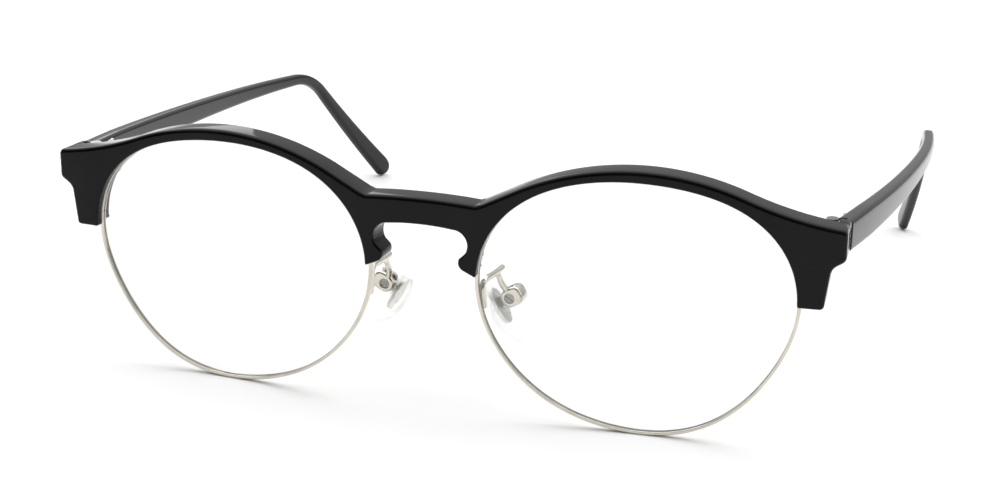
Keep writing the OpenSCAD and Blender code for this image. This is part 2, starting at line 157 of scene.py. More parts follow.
def spline(points, per_span):
    """A smooth curve through the points."""
    p = [Vector(q) for q in points]
    out = []
    for i in range(len(p) - 1):
        a, b, c, d = p[max(i - 1, 0)], p[i], p[i + 1], p[min(i + 2, len(p) - 1)]
        for k in range(per_span):
            t = k / per_span
            out.append(0.5 * (2 * b + (c - a) * t + (2 * a - 5 * b + 4 * c - d) * t * t
                              + (3 * b - a - 3 * c + d) * t ** 3))
    out.append(p[-1])
    return out


# angles of a rounded edge, from one face to the next
QUARTER = [k * math.pi / 14 for k in range(8)]


def smoothstep(t):
    t = min(1.0, max(0.0, t))
    return t * t * (3 - 2 * t)


# ---- materials ----

def new_material(name):
    mat = bpy.data.materials.new(name)
    mat.use_nodes = True
    nodes, links = mat.node_tree.nodes, mat.node_tree.links
    nodes.clear()
    out = nodes.new("ShaderNodeOutputMaterial")
    shader = nodes.new("ShaderNodeBsdfPrincipled")
    links.new(shader.outputs[0], out.inputs[0])
    coords = nodes.new("ShaderNodeTexCoord")
    return mat, nodes, links, shader, coords.outputs["Object"]


def noise(nodes, links, coords, scale, detail=4.0, stretch=None, roughness=0.55):
    if stretch is not None:
        mapping = nodes.new("ShaderNodeMapping")
        mapping.inputs["Scale"].default_value = stretch
        links.new(coords, mapping.inputs["Vector"])
        coords = mapping.outputs[0]
    n = nodes.new("ShaderNodeTexNoise")
    n.inputs["Scale"].default_value = scale
    n.inputs["Detail"].default_value = detail
    n.inputs["Roughness"].default_value = roughness
    links.new(coords, n.inputs["Vector"])
    return n.outputs["Fac"]


def ramp(nodes, links, fac, stops):
    r = nodes.new("ShaderNodeValToRGB")
    r.color_ramp.elements[0].position, r.color_ramp.elements[0].color = stops[0]
    r.color_ramp.elements[1].position, r.color_ramp.elements[1].color = stops[-1]
    for pos, col in stops[1:-1]:
        r.color_ramp.elements.new(pos).color = col
    links.new(fac, r.inputs[0])
    return r.outputs[0]


def remap(nodes, links, fac, low, high, lo=0.3, hi=0.7):
    m = nodes.new("ShaderNodeMapRange")
    m.inputs["From Min"].default_value = lo
    m.inputs["From Max"].default_value = hi
    m.inputs["To Min"].default_value = low
    m.inputs["To Max"].default_value = high
    links.new(fac, m.inputs["Value"])
    return m.outputs[0]


def bump(nodes, links, shader, layers):
    """layers: (height socket, strength, distance in metres)"""
    previous = None
    for height, strength, distance in layers:
        b = nodes.new("ShaderNodeBump")
        b.inputs["Strength"].default_value = strength
        b.inputs["Distance"].default_value = distance
        links.new(height, b.inputs["Height"])
        if previous is not None:
            links.new(previous, b.inputs["Normal"])
        previous = b.outputs[0]
    links.new(previous, shader.inputs["Normal"])


def grey(v, tint=(1.0, 1.0, 1.0)):
    return (v * tint[0], v * tint[1], v * tint[2], 1.0)


def acetate(name, along, gloss):
    """Polished black cellulose acetate; along stretches the polishing marks."""
    mat, nodes, links, shader, coords = new_material(name)
    cloud = noise(nodes, links, coords, 90, 5.0)
    links.new(ramp(nodes, links, cloud, [
        (0.3, grey(0.003, (1.0, 1.0, 1.05))), (0.7, grey(0.006, (1.0, 0.99, 1.0)))]),
        shader.inputs["Base Color"])
    smear = noise(nodes, links, coords, 210, 6.0, along)
    links.new(remap(nodes, links, smear, 0.045, 0.13), shader.inputs["Roughness"])
    shader.inputs["IOR"].default_value = 1.5
    shader.inputs["Specular IOR Level"].default_value = gloss
    polish = noise(nodes, links, coords, 1400, 3.0, along)
    wave = noise(nodes, links, coords, 120, 2.0)
    bump(nodes, links, shader, [(wave, 0.12, 0.00012), (polish, 0.05, 0.00002)])
    return mat


def metal(name, colour, rough, grain, along=(1.0, 1.0, 1.0)):
    mat, nodes, links, shader, coords = new_material(name)
    cloud = noise(nodes, links, coords, 260, 4.0)
    dark = tuple(c * 0.86 for c in colour)
    links.new(ramp(nodes, links, cloud, [(0.3, (*dark, 1.0)), (0.65, (*colour, 1.0))]),
              shader.inputs["Base Color"])
    shader.inputs["Metallic"].default_value = 1.0
    scuff = noise(nodes, links, coords, 900, 5.0, along)
    links.new(remap(nodes, links, scuff, rough * 0.6, rough * 1.5),
              shader.inputs["Roughness"])
    fine = noise(nodes, links, coords, 5200, 3.0, along)
    pits = noise(nodes, links, coords, 700, 2.0)
    bump(nodes, links, shader, [(pits, grain * 0.6, 0.00004), (fine, grain, 0.00001)])
    return mat


def lens_material(name):
    mat, nodes, links, shader, coords = new_material(name)
    smear = noise(nodes, links, coords, 70, 5.0)
    links.new(ramp(nodes, links, smear, [
        (0.3, (0.90, 0.95, 0.94, 1.0)), (0.7, (0.97, 0.99, 0.98, 1.0))]),
        shader.inputs["Base Color"])
    links.new(remap(nodes, links, smear, 0.0, 0.035), shader.inputs["Roughness"])
    shader.inputs["IOR"].default_value = 1.5
    shader.inputs["Alpha"].default_value = 0.09
    specks = noise(nodes, links, coords, 900, 2.0)
    bump(nodes, links, shader, [(specks, 0.02, 0.00001)])
    return mat


def silicone(name):
    mat, nodes, links, shader, coords = new_material(name)
    haze = noise(nodes, links, coords, 320, 5.0)
    links.new(ramp(nodes, links, haze, [
        (0.3, (0.95, 0.96, 0.955, 1.0)), (0.7, (0.99, 0.995, 0.99, 1.0))]),
        shader.inputs["Base Color"])
    links.new(remap(nodes, links, haze, 0.01, 0.08), shader.inputs["Roughness"])
    shader.inputs["IOR"].default_value = 1.41
    shader.inputs["Transmission Weight"].default_value = 1.0
    shader.inputs["Alpha"].default_value = 0.36
    skin = noise(nodes, links, coords, 2600, 4.0)
    dimple = noise(nodes, links, coords, 420, 2.0)
    bump(nodes, links, shader, [(dimple, 0.06, 0.00004), (skin, 0.04, 0.00001)])
    return mat


BROW_ACETATE = acetate("acetate_brow", (0.35, 1.0, 1.0), 0.15)
TEMPLE_ACETATE = acetate("acetate_temple", (1.0, 0.25, 1.0), 0.32)
RIM_METAL = metal("nickel_silver_rim", (0.66, 0.62, 0.54), 0.12, 0.10)
ARM_METAL = metal("nickel_silver_arm", (0.68, 0.64, 0.57), 0.13, 0.12)
HINGE_METAL = metal("nickel_silver_hinge", (0.62, 0.59, 0.53), 0.22, 0.2, (1.0, 1.0, 0.3))
SCREW_METAL = metal("steel_screw", (0.30, 0.29, 0.27), 0.24, 0.3)
INSERT_METAL = metal("insert_plate", (0.66, 0.65, 0.61), 0.34, 0.25)
CORE_METAL = metal("core_wire_steel", (0.62, 0.61, 0.59), 0.30, 0.3, (1.0, 0.2, 1.0))
LENS = lens_material("lens_clear")
PAD_SILICONE = silicone("pad_silicone")

# ---- brow ----

ARCH_R, ARCH_U, ARCH_END = 46.7, 0.7, 21.1
SWEEP_R, SWEEP_END = 61.0, 6.6
BRIDGE_HALF, BRIDGE_TOP, BRIDGE_UNDER, CROWN = 9.6, 14.1, 9.6, 0.35
LOBE_BOTTOM, END_U, END_LOW = 1.8, 33.4, 10.7
NOTCH, NOTCH_R, BULGE, BULGE_R = (-30.3, 7.1), 2.5, (-28.0, 4.1), 1.4
BLOCK_U = 31.6
ARCH_START_U, BRIDGE_CORNER_U = -19, -25.4
END_TOP_R, END_LOW_R, END_LEAN = 1.0, 1.2, 7.7
SIDE_BLEND, SIDE_BLEND_R = (33.2, 7.3), 2.2
LOBE_U, LOBE_R, LOBE_ANGLE = 29.65, 0.7, 5.5
OUTLINE_CORNER_R = 0.45
BROAD_EDGE, FRONT_EDGE, BACK_EDGE, LENS_BACK_EDGE, BLOCK_EDGE = 0.75, 0.38, 0.32, 0.12, 0.004
BLOCK_SOFT, BLOCK_SUNK = 0.1, 0.5


def to_x(u):
    return HALF_GAP + u * math.cos(WRAP)


def face_y(x):
    """Depth of the brow's front face: two wings and a flat bridge between them."""
    ax = abs(x)
    if ax < BRIDGE_HALF:
        ax = BRIDGE_HALF
    return (ax - HALF_GAP) * math.tan(WRAP) + BROW_FRONT / math.cos(WRAP)


def brow_half():
    """Right half of the brow's outline as (x, z, kind): from the top middle, round the
    end, the outer lobe, the lens opening and the nasal lobe to the middle underneath."""
    pts = []
    for i in range(25):
        t = i / 24
        pts.append((t * BRIDGE_HALF, BRIDGE_TOP + CROWN * (1 - t * t), "top"))
    arch_c = (ARCH_U, BROW_TOP - ARCH_R)
    start = math.degrees(math.asin((ARCH_START_U - ARCH_U) / ARCH_R))
    wing_top = [(BRIDGE_CORNER_U, BRIDGE_TOP + CROWN)]
    wing_top += arc(arch_c, ARCH_R, 90 - start, 90 - ARCH_END, 70)
    sweep_c = (arch_c[0] + (ARCH_R + SWEEP_R) * math.sin(math.radians(ARCH_END)),
               arch_c[1] + (ARCH_R + SWEEP_R) * math.cos(math.radians(ARCH_END)))
    wing_top += arc(sweep_c, SWEEP_R, 270 - ARCH_END, 270 - SWEEP_END, 40)[1:]
    end_top = sweep_c[1] - SWEEP_R * math.cos(math.radians(SWEEP_END))
    wing_top += arc((END_U - END_TOP_R, end_top - END_TOP_R), END_TOP_R, 83, 0, 10)
    wing_top += arc((END_U - END_LOW_R, END_LOW), END_LOW_R, 0, -55, 8)
    wing_top += arc(SIDE_BLEND, SIDE_BLEND_R, 125, 180 - END_LEAN, 8)
    wing_top += arc((LOBE_U, LOBE_BOTTOM + LOBE_R), LOBE_R, -END_LEAN, -90, 8)
    pts += [(to_x(u), z, "outer") for u, z in wing_top]
    rise = LOBE_BOTTOM - LENS_Z
    a0 = math.asin(rise / lens_radius(math.radians(LOBE_ANGLE)))
    a1 = math.pi - math.asin(rise / lens_radius(math.radians(180 - LOBE_ANGLE)))
    steps = 200
    for i in range(steps + 1):
        a = a0 + (a1 - a0) * i / steps
        r = lens_radius(a) + FRONT_LIP
        pts.append((to_x(LENS_U + r * math.cos(a)), LENS_Z + r * math.sin(a), "lens"))
    nasal = arc(BULGE, BULGE_R, 245, 150, 16) + arc(NOTCH, NOTCH_R, -35, 30, 18)
    pts += [(to_x(u), z, "nose") for u, z in nasal]
    notch_x = to_x(NOTCH[0])
    pts += [(x, z, "nose") for x, z in arc((notch_x, NOTCH[1]), NOTCH_R, 46, 85, 11)]
    for i in range(24, -1, -1):
        t = i / 24
        pts.append((t * notch_x, BRIDGE_UNDER + CROWN * (1 - t * t), "under"))
    return pts


def rounded_corners(path, radius, turn=24):
    """Replaces each corner sharper than turn degrees by a small arc."""
    out = []
    n = len(path)
    for i in range(n):
        a, b, c = path[i - 1], path[i], path[(i + 1) % n]
        p, q, r = Vector(a[:2]), Vector(b[:2]), Vector(c[:2])
        d1, d2 = q - p, r - q
        if d1.length < 1e-6 or d2.length < 1e-6:
            continue
        bend = abs(math.degrees(d1.angle_signed(d2)))
        if bend < turn:
            out.append(b)
            continue
        out.append((*b[:2], b[2] + "!"))
    # walk back and forth from each marked corner along the path
    marked = [i for i, v in enumerate(out) if v[2].endswith("!")]
    n = len(out)
    drop, arcs = set(), {}
    for i in marked:
        q = Vector(out[i][:2])

        def walk(step):
            left, j, here = radius, i, q
            while True:
                k = (j + step) % n
                nxt = Vector(out[k][:2])
                gap = (nxt - here).length
                if gap >= left:
                    return here + (nxt - here) * (left / gap), j
                left -= gap
                j, here = k, nxt

        p1, j1 = walk(-1)
        p2, j2 = walk(1)
        j = j1
        while True:
            drop.add(j)
            if j == j2:
                break
            j = (j + 1) % n
        kind = out[i][2][:-1]
        arcs[j1] = [(*(((1 - t) ** 2) * p1 + 2 * t * (1 - t) * q + t * t * p2), kind)
                    for t in (k / 6 for k in range(7))]
    final = []
    for i in range(n):
        if i in arcs:
            final += arcs[i]
        elif i not in drop:
            final.append(out[i])
    return final


def path_normals(path):
    """Inward normals, with the length that keeps a parallel offset."""
    n = len(path)
    out = []
    for i in range(n):
        p, q, r = (Vector(path[(i + k) % n][:2]) for k in (-1, 0, 1))
        e1, e2 = (q - p).normalized(), (r - q).normalized()
        n1, n2 = Vector((-e1.y, e1.x)), Vector((-e2.y, e2.x))
        m = (n1 + n2).normalized()
        out.append(m / max(0.6, m.dot(n1)))
    return out


def brow_path():
    half = brow_half()
    left = [(-x, z, k) for x, z, k in reversed(half) if x > 1e-6]
    path = []
    for p in half + left:
        if not path or (Vector(path[-1][:2]) - Vector(p[:2])).length > 0.02:
            path.append(p)
    return rounded_corners(path, OUTLINE_CORNER_R)


def build_brow():
    path = brow_path()
    n = len(path)
    area = sum(path[i - 1][0] * path[i][1] - path[i][0] * path[i - 1][1]
               for i in range(n))
    sign = 1 if area > 0 else -1
    normals = [m * sign for m in path_normals(path)]

    def blurred(values, reach):
        for _ in range(reach):
            values = [(values[i - 1] + values[i] + values[(i + 1) % n]) / 3
                      for i in range(n)]
        return values

    # how far each edge of the front and back faces is rounded
    front = blurred([BROAD_EDGE if k in ("top", "outer") else FRONT_EDGE
                     for _, _, k in path], 6)
    back = blurred([LENS_BACK_EDGE if k == "lens" else BACK_EDGE
                    for _, _, k in path], 3)
    shelf = [REAR_LIP - FRONT_LIP if k == "lens" else 0.0 for _, _, k in path]
    at_block = [abs(x) > to_x(BLOCK_U) and z > END_LOW - 1 for x, z, _ in path]
    back = [BLOCK_EDGE if b else v for b, v in zip(at_block, back)]

    # a fillet never passes the middle of the corner that it runs round
    def kept_small(values):
        limit = []
        for i in range(n):
            turn, run = 0.0, 0.0
            for k in range(-2, 3):
                p, q, r = (Vector(path[(i + k + j) % n][:2]) for j in (-1, 0, 1))
                turn += (q - p).angle_signed(r - q) * -sign
                run += ((q - p).length + (r - q).length) / 2
            limit.append(0.7 * run / turn if turn > 0.02 else 9.0)
        out = [min(values[i], min(limit[(i + k) % n] for k in range(-3, 4)))
               for i in range(n)]
        return blurred(out, 3)

    front, back = kept_small(front), kept_small(back)

    def ring(inset, depth, outset=None):
        pts = []
        for i, (x, z, _) in enumerate(path):
            move = inset[i] - (outset[i] if outset else 0.0)
            # a negative outset cuts a shelf into the brow along the lens opening
            px, pz = x + normals[i].x * move, z + normals[i].y * move
            d = depth[i] if isinstance(depth, list) else depth
            lean = smoothstep((abs(px) - 5) / 5)
            pts.append(row(px - math.copysign(d * math.sin(WRAP) * lean, px),
                           face_y(px) + d, pz))
        return pts

    bm = bmesh.new()
    thick = BROW_BACK - BROW_FRONT
    step = RIM_FRONT - BROW_FRONT - 0.05
    rings = []
    for q in QUARTER:
        rings.append(ring([f * (1 - math.sin(q)) for f in front],
                          [f * (1 - math.cos(q)) for f in front]))
    rings.append(ring([0.0] * n, step))
    into = [-s for s in shelf]
    rings.append(ring([0.0] * n, step + 0.002, into))
    for q in reversed(QUARTER):
        rings.append(ring([b * (1 - math.sin(q)) for b in back],
                          [thick - b * (1 - math.cos(q)) for b in back], into))
    loops = [[bm.verts.new(p) for p in r] for r in rings]
    for a, b in zip(loops, loops[1:]):
        for k in range(n):
            m = (k + 1) % n
            bm.faces.new((a[k], a[m], b[m], b[k]))
    # the front and back faces, with an edge where the wings meet the bridge
    for loop in (loops[0], loops[-1]):
        flat = [Vector((v.co.x / MM, v.co.z / MM)) for v in loop]
        edges = [(i, (i + 1) % n) for i in range(n)]
        for s in (-1, 1):
            near = sorted(range(n), key=lambda i: abs(flat[i].x - s * BRIDGE_HALF))
            top = next(i for i in near if path[i][1] > 13)
            low = next(i for i in near if path[i][1] < 13 and path[i][2] != "lens")
            edges.append((top, low))
        _, _, faces, sources, _, _ = delaunay_2d_cdt(flat, edges, [], 1, 1e-7)
        for tri in faces:
            if all(sources[k] for k in tri):
                bm.faces.new([loop[sources[k][0]] for k in tri])
    # the hinge blocks behind the two ends
    for s in (-1, 1):
        part = [i for i in range(n) if path[i][0] * s > to_x(BLOCK_U) and
                path[i][1] > END_LOW - 1.3]
        if s < 0:
            start = next(k for k in range(len(part)) if part[k] - part[k - 1] != 1)
            part = part[start:] + part[:start]
        corner_top = path[part[0]] if s > 0 else path[part[-1]]
        corner_low = path[part[-1]] if s > 0 else path[part[0]]
        block = [(path[i][0], path[i][1]) for i in part]
        x_in = s * to_x(BLOCK_U)
        extra = [(x_in, corner_low[1]), (x_in, corner_top[1])]
        block = block + (extra if s > 0 else extra[::-1])
        m = len(block)
        swirl = sum(block[i - 1][0] * block[i][1] - block[i][0] * block[i - 1][1]
                    for i in range(m))
        nm = [v * (1 if swirl > 0 else -1) for v in path_normals([(*b, "") for b in block])]
        rings = []
        levels = [(0.0, BROW_BACK - BLOCK_SUNK)] + [
            (BLOCK_SOFT * (1 - math.sin(q)), BLOCK_BACK - BLOCK_SOFT * (1 - math.cos(q)))
            for q in reversed(QUARTER)]
        for inset, d in levels:
            pts = []
            for (x, z), v in zip(block, nm):
                px, pz = x + v.x * inset, z + v.y * inset
                dd = d - BROW_FRONT
                pts.append(row(px - math.copysign(dd * math.sin(WRAP), px),
                               face_y(px) + dd, pz))
            rings.append(pts)
        loft(bm, rings)
    bmesh.ops.remove_doubles(bm, verts=bm.verts, dist=1e-6)
    make_object("brow_polished", bm, BROW_ACETATE, "front",
                ["brow_bar"], 28)


build_brow()

# ---- rims ----

CLOSING_Z, CLOSING_ANGLE, SPLIT, SPLIT_R = 4.1, 10.6, 0.2, 26.0
GROOVE, GROOVE_DRAFT, INNER_CORNER, OUTER_CORNER = 0.3, 0.02, 0.16, 0.26


def build_rims():
    steps = 260
    split_at = math.asin((CLOSING_Z - LENS_Z) / lens_radius(math.radians(CLOSING_ANGLE)))
    half_gap = SPLIT / 2 / SPLIT_R
    # a drawn wire: rounded outside, a groove for the lens inside
    inner, outer, mid = INNER_CORNER, OUTER_CORNER, RIM_DEPTH / 2
    section = arc((RIM_WALL - outer, RIM_DEPTH - outer), outer, 0, 90, 6)
    section += arc((inner, RIM_DEPTH - inner), inner, 90, 180, 6)
    section += [(0.0, mid + GROOVE), (GROOVE, mid + GROOVE - GROOVE_DRAFT),
                (GROOVE, mid - GROOVE + GROOVE_DRAFT), (0.0, mid - GROOVE)]
    section += arc((inner, inner), inner, 180, 270, 6)
    section += arc((RIM_WALL - outer, outer), outer, 270, 360, 6)
    rings = []
    for i in range(steps + 1):
        a = split_at + half_gap + (2 * math.pi - 2 * half_gap) * i / steps
        rings.append([wing(LENS_U + (lens_radius(a) + r) * math.cos(a), RIM_FRONT + d,
                           LENS_Z + (lens_radius(a) + r) * math.sin(a))
                      for r, d in section])
    bm = bmesh.new()
    loft(bm, rings)
    on_both_sides("rim_wire", bm, RIM_METAL, "front", ["rim_{}"])


build_rims()

# ---- lenses ----

CURVE, BULGE_OUT, THICK = 260.0, 2.4, 1.5
EDGE_GAP, EDGE_RISE, EDGE_WIDE, EDGE_NARROW = 0.05, 0.28, 0.25, 0.12


def build_lenses():
    mid = RIM_FRONT + RIM_DEPTH / 2
    count, spokes = 22, 180

    def sag(r, radius):
        return radius - math.sqrt(radius * radius - r * r)

    def point(a, r, d):
        return wing(LENS_U + r * math.cos(a), d, LENS_Z + r * math.sin(a))

    bm = bmesh.new()
    angles = [2 * math.pi * i / spokes for i in range(spokes)]
    front0 = mid - BULGE_OUT
    edge = [lens_radius(a) - EDGE_GAP for a in angles]
    rings = []
    for k in range(1, count + 1):
        rings.append([point(a, e * k / count, front0 + sag(e * k / count, CURVE))
                      for a, e in zip(angles, edge)])
    for grow, d in ((0.0, mid - EDGE_WIDE), (EDGE_RISE, mid - EDGE_NARROW),
                    (EDGE_RISE, mid + EDGE_NARROW), (0.0, mid + EDGE_WIDE)):
        rings.append([point(a, e + grow, d) for a, e in zip(angles, edge)])
    for k in range(count, 0, -1):
        rings.append([point(a, e * k / count,
                            front0 + THICK + sag(e * k / count, CURVE - THICK))
                      for a, e in zip(angles, edge)])
    loops = loft(bm, rings, caps=False)
    for loop, d in ((loops[0], front0), (loops[-1], front0 + THICK)):
        mid_vert = bm.verts.new(point(0.0, 0.0, d))
        for i in range(spokes):
            bm.faces.new((loop[i], loop[(i + 1) % spokes], mid_vert))
    on_both_sides("lens_blank", bm, LENS, "front", ["lens_{}"], 40)


build_lenses()

# ---- nose pad arms ----

ARM_WIRE, WIRE_SKIN, FOOT_WIDER, FOOT_STATIONS = 1.1, 0.985, 0.18, 16
WIRE_SIDE = Vector((0.96, -0.25, 0.1))      # fixes where each section starts
BAR_POINTS = ((10.15, 0.93, -3.9), (9.9, 0.95, -1.6), (9.9, 1.3, -0.2),
              (10.05, 2.5, 0.35), (10.15, 5.0, 0.15), (10.2, 8.0, -0.05),
              (10.25, 9.9, -0.05))
STEM_POINTS = ((10.15, 7.5, -0.1), (10.15, 8.3, -0.9), (10.2, 9.4, -2.3),
               (10.4, 10.2, -3.4), (10.75, 10.75, -4.25))


def wire(bm, points, flat_start=False):
    """A round wire along the points; its ends are rounded, or flattened at a foot."""
    path = spline(points, 9)
    last = len(path) - 1
    sides = 20
    rings = []
    for i, p in enumerate(path):
        t = (path[min(i + 1, last)] - path[max(i - 1, 0)]).normalized()
        across = t.cross(WIRE_SIDE).normalized()
        up = across.cross(t)
        r = ARM_WIRE / 2 * WIRE_SKIN
        wide = 1.0
        if flat_start:
            wide = 1.0 + FOOT_WIDER * (1 - smoothstep(i / FOOT_STATIONS))
        rings.append([row(*(p + r * (math.cos(k * math.tau / sides) * across
                                     + math.sin(k * math.tau / sides) * up * wide)))
                      for k in range(sides)])

    def rounded(end, toward):
        centre = sum((Vector(v) for v in end), Vector()) / sides
        out = []
        for q in (0.35, 0.7, 1.0, 1.25, 1.42):
            out.append([centre + (Vector(v) - centre) * math.cos(q)
                        + toward * math.sin(q) * ARM_WIRE / 2 * MM for v in end])
        return out

    start = (path[0] - path[1]).normalized()
    finish = (path[-1] - path[-2]).normalized()
    rings = rounded(rings[0], start)[::-1] + rings + rounded(rings[-1], finish)
    loft(bm, rings)


def build_arms():
    bm = bmesh.new()
    wire(bm, BAR_POINTS, True)
    wire(bm, STEM_POINTS)
    on_both_sides("pad_arm_wire", bm, ARM_METAL, "front", ["pad_arm_{}"],
                  60)


build_arms()

# ---- pad boxes ----

PAD_AXIS, BOX_FRONT, BOX_DEPTH = (11.43, -5.65), 10.3, 3.1
BOX_R, BOX_WEB, CHEEK, HEAD_R, PIN_R = 1.65, 2.3, 0.95, 0.87, 0.52
BOX_SOFT, HOLE_SOFT, CHEEK_INSET, BOX_SQUARENESS = 0.42, 0.06, 0.05, 3.6
WEB_INNER, WEB_START = 1.35, -0.62
PAD_SIDE = math.radians(150.7)


def box_point(r, a, depth):
    """A point round the pad screw; a = 0 points to the pad."""
    lx, lz = r * math.cos(a), r * math.sin(a)
    return row(PAD_AXIS[0] + lx * math.cos(PAD_SIDE) + lz * math.sin(PAD_SIDE),
               BOX_FRONT + depth,
               PAD_AXIS[1] - lx * math.sin(PAD_SIDE) + lz * math.cos(PAD_SIDE))


def box_radius(a):
    if math.cos(a) > 0:
        return BOX_R
    c, s = abs(math.cos(a)) / BOX_WEB, abs(math.sin(a)) / BOX_R
    return (c ** BOX_SQUARENESS + s ** BOX_SQUARENESS) ** (-1 / BOX_SQUARENESS)


def build_pad_boxes():
    spokes = 72
    angles = [math.tau * i / spokes for i in range(spokes)]
    bm = bmesh.new()
    # two cheeks, each with a hole; the front one takes the screw head
    for outer, inner, hole in ((0.0, CHEEK, HEAD_R), (BOX_DEPTH, BOX_DEPTH - CHEEK, PIN_R)):
        way = 1 if inner > outer else -1
        rings = [[box_point(box_radius(a) - CHEEK_INSET, a, inner) for a in angles]]
        for q in reversed(QUARTER):
            rings.append([box_point(box_radius(a) - BOX_SOFT * (1 - math.sin(q)), a,
                                    outer + way * BOX_SOFT * (1 - math.cos(q)))
                          for a in angles])
        rings.append([box_point(hole + HOLE_SOFT, a, outer) for a in angles])
        rings.append([box_point(hole, a, outer + way * HOLE_SOFT) for a in angles])
        rings.append([box_point(hole, a, inner) for a in angles])
        loft(bm, rings, closed_path=True)
    # the web that joins them on the side away from the pad
    back = [a for a in angles if math.cos(a) < WEB_START]
    rings = []
    for depth, inset in ((0.5, 0.06), (0.8, 0.0), (BOX_DEPTH - 0.8, 0.0),
                         (BOX_DEPTH - 0.5, 0.06)):
        outside = [box_point(box_radius(a) - inset, a, depth) for a in back]
        inside = [box_point(WEB_INNER / -math.cos(a), a, depth) for a in reversed(back)]
        rings.append(outside + inside)
    loft(bm, rings)
    on_both_sides("pad_box_round", bm, ARM_METAL, "front", ["pad_box_{}"],
                  45)


build_pad_boxes()

# ---- nose pads ----

PAD_SCREW = Vector((11.43, 11.85, -5.65))
PAD_LENGTH, PAD_WIDTH, PAD_THICK, PAD_DOME = 13.4, 7.4, 2.9, 9.5
PAD_SHIFT = Vector((1.6, 0.0, 1.95))        # from the pad screw to the pad's middle
PAD_SKIN, PAD_OVAL, PAD_RIM_Z, PAD_HOLLOW, PAD_LIP = 0.985, 2.3, 0.03, 0.25, 0.32
PAD_TURN = (Matrix.Rotation(math.radians(17.7), 3, "Z")
            @ Matrix.Rotation(math.radians(60.1), 3, "Y")
            @ Matrix.Rotation(math.radians(191.4), 3, "X"))


def pad_point(x, y, z):
    return row(*(PAD_SCREW + PAD_TURN @ (Vector((x, y, z)) + PAD_SHIFT)))


def build_pads():
    spokes, count = 72, 16

    def edge(a):
        c, s = math.cos(a), math.sin(a)
        return (math.copysign(abs(c) ** (2 / PAD_OVAL), c) * PAD_LENGTH / 2,
                math.copysign(abs(s) ** (2 / PAD_OVAL), s) * PAD_WIDTH / 2)

    def crown(x, y):
        return PAD_THICK - PAD_DOME + math.sqrt(PAD_DOME ** 2 - x * x - y * y)

    bm = bmesh.new()
    rings = []
    angles = [math.tau * i / spokes for i in range(spokes)]
    for k in range(1, count + 1):
        t = math.sin(k / count * math.pi / 2)
        ring = []
        for a in angles:
            ex, ey = edge(a)
            x, y = ex * t * PAD_SKIN, ey * t * PAD_SKIN
            ring.append(pad_point(x, y, PAD_RIM_Z + (crown(x, y) - PAD_RIM_Z) * (
                0.35 + 0.65 * (1 - t ** 7) ** 0.5)))
        rings.append(ring)
    for k in range(count, 0, -1):
        t = math.sin(k / count * math.pi / 2)
        ring = []
        for a in angles:
            ex, ey = edge(a)
            x, y = ex * t * PAD_SKIN, ey * t * PAD_SKIN
            low = PAD_LIP * (t ** 6)
            ring.append(pad_point(x, y, min(low, crown(x, y) * 0.3)
                                  + PAD_HOLLOW * (1 - t * t)))
        rings.append(ring)
    loops = loft(bm, rings, caps=False)
    for loop, z in ((loops[0], PAD_THICK), (loops[-1], PAD_HOLLOW)):
        mid = bm.verts.new(pad_point(0, 0, z))
        for i in range(spokes):
            bm.faces.new((loop[i], loop[(i + 1) % spokes], mid))
    on_both_sides("pad_silicone", bm, PAD_SILICONE, "pad_{}",
                  ["nose_pad_{}"], 60)


build_pads()

# ---- temples ----

START_Y, SHAFT, DROP, BEND_R = 8.65, 91.5, 32.0, 16.0
SHAFT_SLOPE, DROP_SLOPE, START_Z = math.radians(3.9), math.radians(46.7), 12.2
BEND = BEND_R * (DROP_SLOPE - SHAFT_SLOPE)
TEMPLE_LENGTH = SHAFT + BEND + DROP
START_X, BOW_X, BOW_Y, TURN_IN, TURN_POWER, TIP_Y = 68.95, 72.3, 65.0, 11.9, 2.4, 136.0
TEMPLE_THICK, TIP_THICK, TIP_ROUND, TIP_SLANT = 3.2, 1.9, 1.6, 3.6
HINGE_CUT_Y, HINGE_CUT_X = 10.3, 67.1
TAPER_START, TEMPLE_HEIGHT, NECK_HEIGHT, BEND_END_HEIGHT, TIP_HEIGHT = 12, 5.2, 2.35, 2.2, 4.1
START_SOFT, CORNER_R, TIP_THINNER = 0.1, 0.85, 0.7


def temple_x(y):
    if y < BOW_Y:
        return BOW_X - (BOW_X - START_X) * ((BOW_Y - y) / (BOW_Y - START_Y)) ** 2
    return BOW_X - TURN_IN * ((y - BOW_Y) / (TIP_Y - BOW_Y)) ** TURN_POWER


def temple_wall(y):
    return TEMPLE_THICK + (TIP_THICK - TEMPLE_THICK) * (y - START_Y) / (TIP_Y - START_Y)


def heading(s):
    if s < SHAFT:
        return SHAFT_SLOPE
    if s < SHAFT + BEND:
        return SHAFT_SLOPE + (s - SHAFT) / BEND_R
    return DROP_SLOPE


def centre_line(s):
    sin, cos = math.sin, math.cos
    if s < SHAFT:
        return START_Y + s * cos(SHAFT_SLOPE), START_Z - s * sin(SHAFT_SLOPE)
    y0, z0 = START_Y + SHAFT * cos(SHAFT_SLOPE), START_Z - SHAFT * sin(SHAFT_SLOPE)
    a = heading(s)
    y1 = y0 + BEND_R * (sin(a) - sin(SHAFT_SLOPE))
    z1 = z0 + BEND_R * (cos(a) - cos(SHAFT_SLOPE))
    if s < SHAFT + BEND:
        return y1, z1
    t = s - SHAFT - BEND
    return y1 + t * cos(DROP_SLOPE), z1 - t * sin(DROP_SLOPE)


